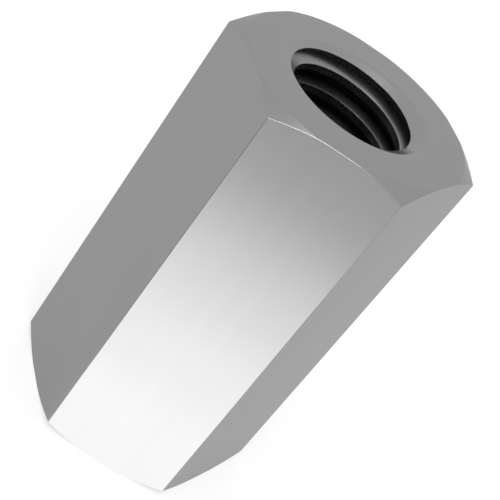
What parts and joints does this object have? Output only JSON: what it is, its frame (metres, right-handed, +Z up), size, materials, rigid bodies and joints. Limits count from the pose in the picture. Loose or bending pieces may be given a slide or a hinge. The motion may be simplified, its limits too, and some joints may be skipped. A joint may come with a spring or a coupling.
{
  "type": "coupling nut",
  "caption": "Long hexagonal coupling nut with chamfered corners and a countersunk right-hand internal thread right through it.",
  "frame": {"origin": "on the bore's axis, in the lower end face", "axes": "+Z up along the bore; +X square to one of the six flats"},
  "size_m": [0.008, 0.0092, 0.015],
  "materials": {
    "steel": "smooth plain grey metal, satin"
  },
  "bodies": {
    "root": {"coupling_nut": "steel"}
  },
  "joints": []
}
